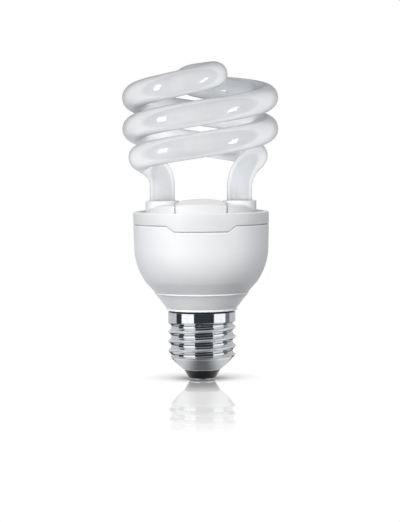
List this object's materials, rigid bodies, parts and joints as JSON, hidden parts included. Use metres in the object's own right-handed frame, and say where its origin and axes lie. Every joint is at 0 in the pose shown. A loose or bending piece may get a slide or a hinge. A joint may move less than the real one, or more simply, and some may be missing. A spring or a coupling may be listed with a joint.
{
  "type": "spiral energy saving bulb",
  "caption": "Compact fluorescent lamp: a double-start spiral of milky glass tube in a white cup-shaped ballast housing with an E27 screw cap.",
  "frame": {"origin": "middle of the centre contact's lower face, the end that goes into the lampholder", "axes": "+Z along the lamp's axis from the screw cap to the spiral, -Y to the front where the cover's tab is, +X through the right leg of the tube"},
  "size_m": [0.0602, 0.0602, 0.1228],
  "materials": {
    "milky_glass": "glossy, opal from the coating inside",
    "white_cover": "satin",
    "white_housing": "satin",
    "nickel_plate": "polished",
    "black_glass": "glossy",
    "tinned_contact": "satin",
    "white_cement": "matt",
    "board_laminate": "satin",
    "capacitor_sleeve": "gloss",
    "film_case": "gloss",
    "disc_coating": "gloss",
    "ferrite": "matt",
    "black_moulding": "matt",
    "copper_wire": "enamelled",
    "resistor_body": "gloss",
    "tinned_wire": "bright",
    "lead_sleeve": "matt"
  },
  "bodies": {
    "root": {"glass_tube": "milky_glass", "top_cover": "white_cover", "housing": "white_housing", "screw_shell": "nickel_plate", "insulator": "black_glass", "centre_contact": "tinned_contact", "left_leg_cement": "white_cement", "right_leg_cement": "white_cement", "circuit_board": "board_laminate", "bulk_capacitor": "capacitor_sleeve", "start_capacitor": "film_case", "blocking_capacitor": "film_case", "snubber_capacitor": "disc_coating", "choke_core_upper": "ferrite", "choke_core_lower": "ferrite", "choke_bobbin": "black_moulding", "choke_winding": "copper_wire", "drive_toroid": "ferrite", "toroid_winding": "copper_wire", "transistor_upper_switch": "black_moulding", "transistor_lower_switch": "black_moulding", "rectifier_diodes": "black_moulding", "diac": "disc_coating", "small_resistors": "resistor_body", "fuse_resistor": "resistor_body", "start_thermistor": "disc_coating", "input_inductor": "ferrite", "wrap_pins": "tinned_wire", "electrode_leads": "tinned_wire", "live_lead": "lead_sleeve", "neutral_lead": "lead_sleeve"}
  },
  "joints": []
}
